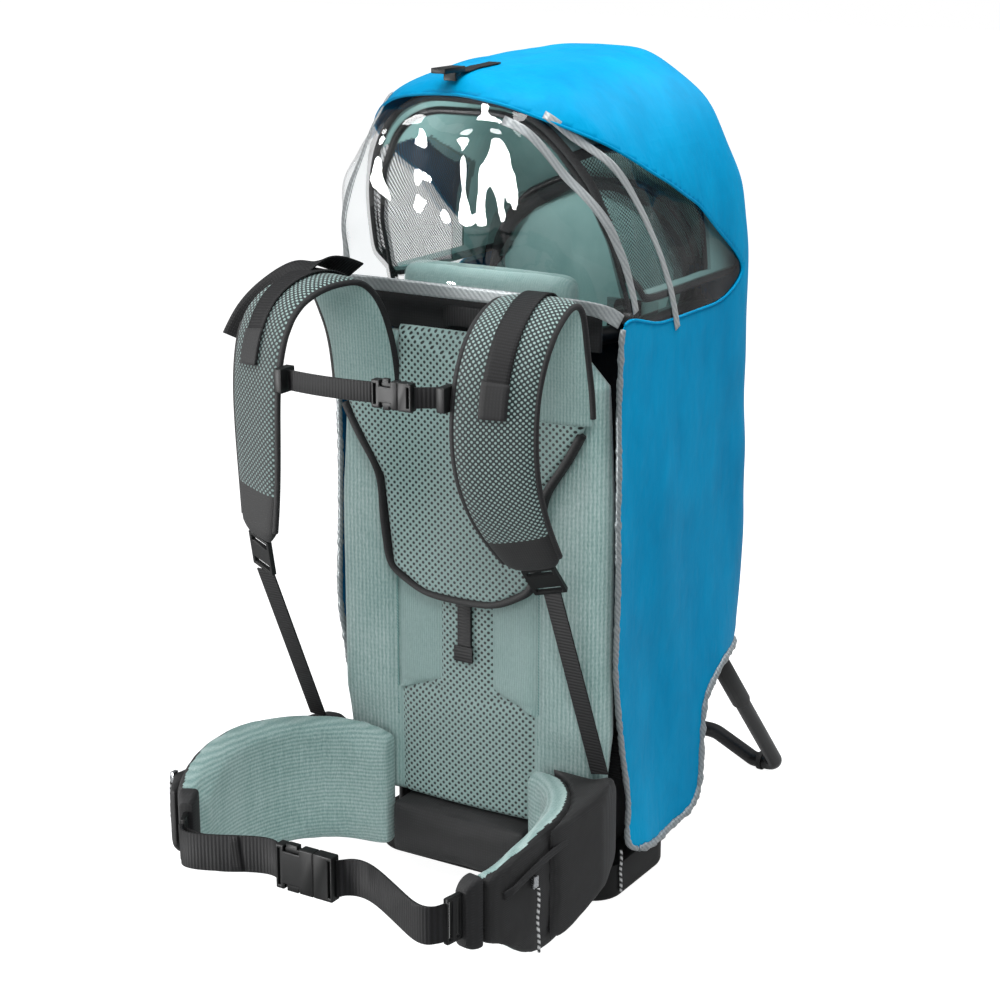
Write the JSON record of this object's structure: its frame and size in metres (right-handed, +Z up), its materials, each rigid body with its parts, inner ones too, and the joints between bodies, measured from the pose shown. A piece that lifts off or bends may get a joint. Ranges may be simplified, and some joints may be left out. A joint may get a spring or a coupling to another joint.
{
  "type": "framed child carrier backpack",
  "caption": "Framed child carrier backpack with hip belt, shoulder harness, folding kickstand, sunshade and lift-off rain cover with a clear window.",
  "frame": {"origin": "on the ground face of the base, midway between its sides and below the pack's load", "axes": "+X to the right of someone who looks at the back panel, +Y towards the kickstand, +Z up; the wearer is at -Y"},
  "size_m": [0.4233, 0.7806, 0.865],
  "materials": {
    "frame_aluminium": "satin anodised",
    "black_tube": "satin black coat",
    "black_plastic": "moulded",
    "steel_pin": "turned",
    "black_fabric": "woven",
    "teal_fabric": "heather knit",
    "mesh_fabric": "spacer mesh",
    "strap_mesh": "printed mesh",
    "webbing": "polypropylene webbing",
    "cover_nylon": "ripstop nylon",
    "clear_film": "clear film",
    "canopy_cloth": "woven",
    "rubber_pad": "moulded",
    "paracord": "braided",
    "button_grey": "moulded"
  },
  "bodies": {
    "pack": {"back_frame": "frame_aluminium", "rim_loop": "frame_aluminium", "side_struts": "frame_aluminium", "hub_plates": "black_plastic", "pivot_pins": "steel_pin", "base_tray": "black_plastic", "lower_bag": "black_fabric", "cockpit_shell": "black_fabric", "seat_cushion": "teal_fabric", "headrest_panel": "teal_fabric", "drool_pad": "teal_fabric", "child_harness": "webbing", "child_buckle": "black_plastic", "back_panel": "mesh_fabric", "lumbar_band": "black_fabric", "top_panel": "black_fabric", "grab_handle": "webbing", "hip_wing_right": "teal_fabric", "hip_wing_left": "teal_fabric", "hip_pocket_right": "black_fabric", "hip_pocket_left": "black_fabric", "wing_caps": "black_fabric", "belt_triglides": "black_plastic", "belt_webbing": "webbing", "hip_buckle_female": "black_plastic", "hip_buckle_male": "black_plastic", "canopy_pivots": "black_plastic", "canopy_rear_bow": "black_tube", "base_zip_cord": "paracord"},
    "harness": {"yoke_pad": "mesh_fabric", "shoulder_pad_right": "strap_mesh", "shoulder_pad_left": "strap_mesh", "load_lifters": "webbing", "ladder_locks": "black_plastic", "lower_webbing": "webbing", "pull_tab": "webbing"},
    "chest_strap": {"chest_clips": "black_plastic", "chest_webbing": "webbing", "chest_buckle_female": "black_plastic", "chest_buckle_male": "black_plastic"},
    "chest_prong_up": {"chest_prong_upper": "black_plastic"},
    "chest_prong_low": {"chest_prong_lower": "black_plastic"},
    "hip_prong_up": {"hip_prong_upper": "black_plastic"},
    "hip_prong_low": {"hip_prong_lower": "black_plastic"},
    "child_button": {"child_buckle_button": "button_grey"},
    "luggage_flap": {"bag_flap": "black_fabric"},
    "stirrup_r": {"stirrup_right": "webbing"},
    "stirrup_l": {"stirrup_left": "webbing"},
    "kickstand": {"kickstand_bar": "black_tube", "kickstand_sleeves": "black_plastic", "kickstand_pads": "rubber_pad"},
    "canopy": {"canopy_bow": "black_tube", "canopy_fabric": "canopy_cloth"},
    "rain_cover": {"cover_shell": "cover_nylon", "cover_window": "clear_film", "cover_hook": "black_plastic"},
    "zip_r": {"zip_slider_right": "black_plastic", "zip_cord_right": "paracord"},
    "zip_l": {"zip_slider_left": "black_plastic", "zip_cord_left": "paracord"}
  },
  "joints": [
    {"name": "kickstand_fold", "type": "hinge", "parent": "pack", "child": "kickstand", "pos_m": [0.15, 0.15, 0.24], "axis": [1, 0, 0], "range_deg": [-40, 0]},
    {"name": "harness_height", "type": "slide", "parent": "pack", "child": "harness", "axis": [0, 0, 1], "range_m": [-0.06, 0], "deforming": ["lower_webbing"]},
    {"name": "chest_strap_height", "type": "slide", "parent": "harness", "child": "chest_strap", "axis": [0, 0, 1], "range_m": [-0.03, 0.02]},
    {"name": "chest_prong_up_squeeze", "type": "slide", "parent": "chest_strap", "child": "chest_prong_up", "axis": [0, 0, -1], "range_m": [0, 0.0015], "stiffness_N_per_m": 800},
    {"name": "chest_prong_low_squeeze", "type": "slide", "parent": "chest_strap", "child": "chest_prong_low", "axis": [0, 0, 1], "range_m": [0, 0.0015], "stiffness_N_per_m": 800},
    {"name": "hip_prong_up_squeeze", "type": "slide", "parent": "pack", "child": "hip_prong_up", "axis": [0, 0, -1], "range_m": [0, 0.0025], "stiffness_N_per_m": 800},
    {"name": "hip_prong_low_squeeze", "type": "slide", "parent": "pack", "child": "hip_prong_low", "axis": [0, 0, 1], "range_m": [0, 0.0025], "stiffness_N_per_m": 800},
    {"name": "child_buckle_press", "type": "slide", "parent": "pack", "child": "child_button", "axis": [0, 0, -1], "range_m": [0, 0.003], "stiffness_N_per_m": 400},
    {"name": "luggage_flap_hinge", "type": "hinge", "parent": "pack", "child": "luggage_flap", "pos_m": [0, 0.1099, 0.052], "axis": [-1, 0, 0], "range_deg": [0, 75]},
    {"name": "stirrup_right_swing", "type": "hinge", "parent": "pack", "child": "stirrup_r", "pos_m": [0.143, -0.005, 0.335], "axis": [1, 0, 0], "range_deg": [-5, 8]},
    {"name": "stirrup_left_swing", "type": "hinge", "parent": "pack", "child": "stirrup_l", "pos_m": [-0.143, -0.005, 0.335], "axis": [1, 0, 0], "range_deg": [-5, 8]},
    {"name": "canopy_fold", "type": "hinge", "parent": "pack", "child": "canopy", "pos_m": [0.138, -0.01, 0.616], "axis": [-1, 0, 0], "range_deg": [0, 75], "deforming": ["canopy_fabric"]},
    {"name": "rain_cover_lift", "type": "slide", "parent": "pack", "child": "rain_cover", "axis": [0, 0, 1], "range_m": [0, 0.9]},
    {"name": "pocket_zip_right", "type": "slide", "parent": "pack", "child": "zip_r", "axis": [0, 1, 0], "range_m": [-0.03, 0.13]},
    {"name": "pocket_zip_left", "type": "slide", "parent": "pack", "child": "zip_l", "axis": [0, 1, 0], "range_m": [0, 0.09]}
  ],
  "couplings": [
    {"joint": "chest_prong_low_squeeze", "follows": "chest_prong_up_squeeze", "ratio": 1},
    {"joint": "hip_prong_low_squeeze", "follows": "hip_prong_up_squeeze", "ratio": 1}
  ]
}
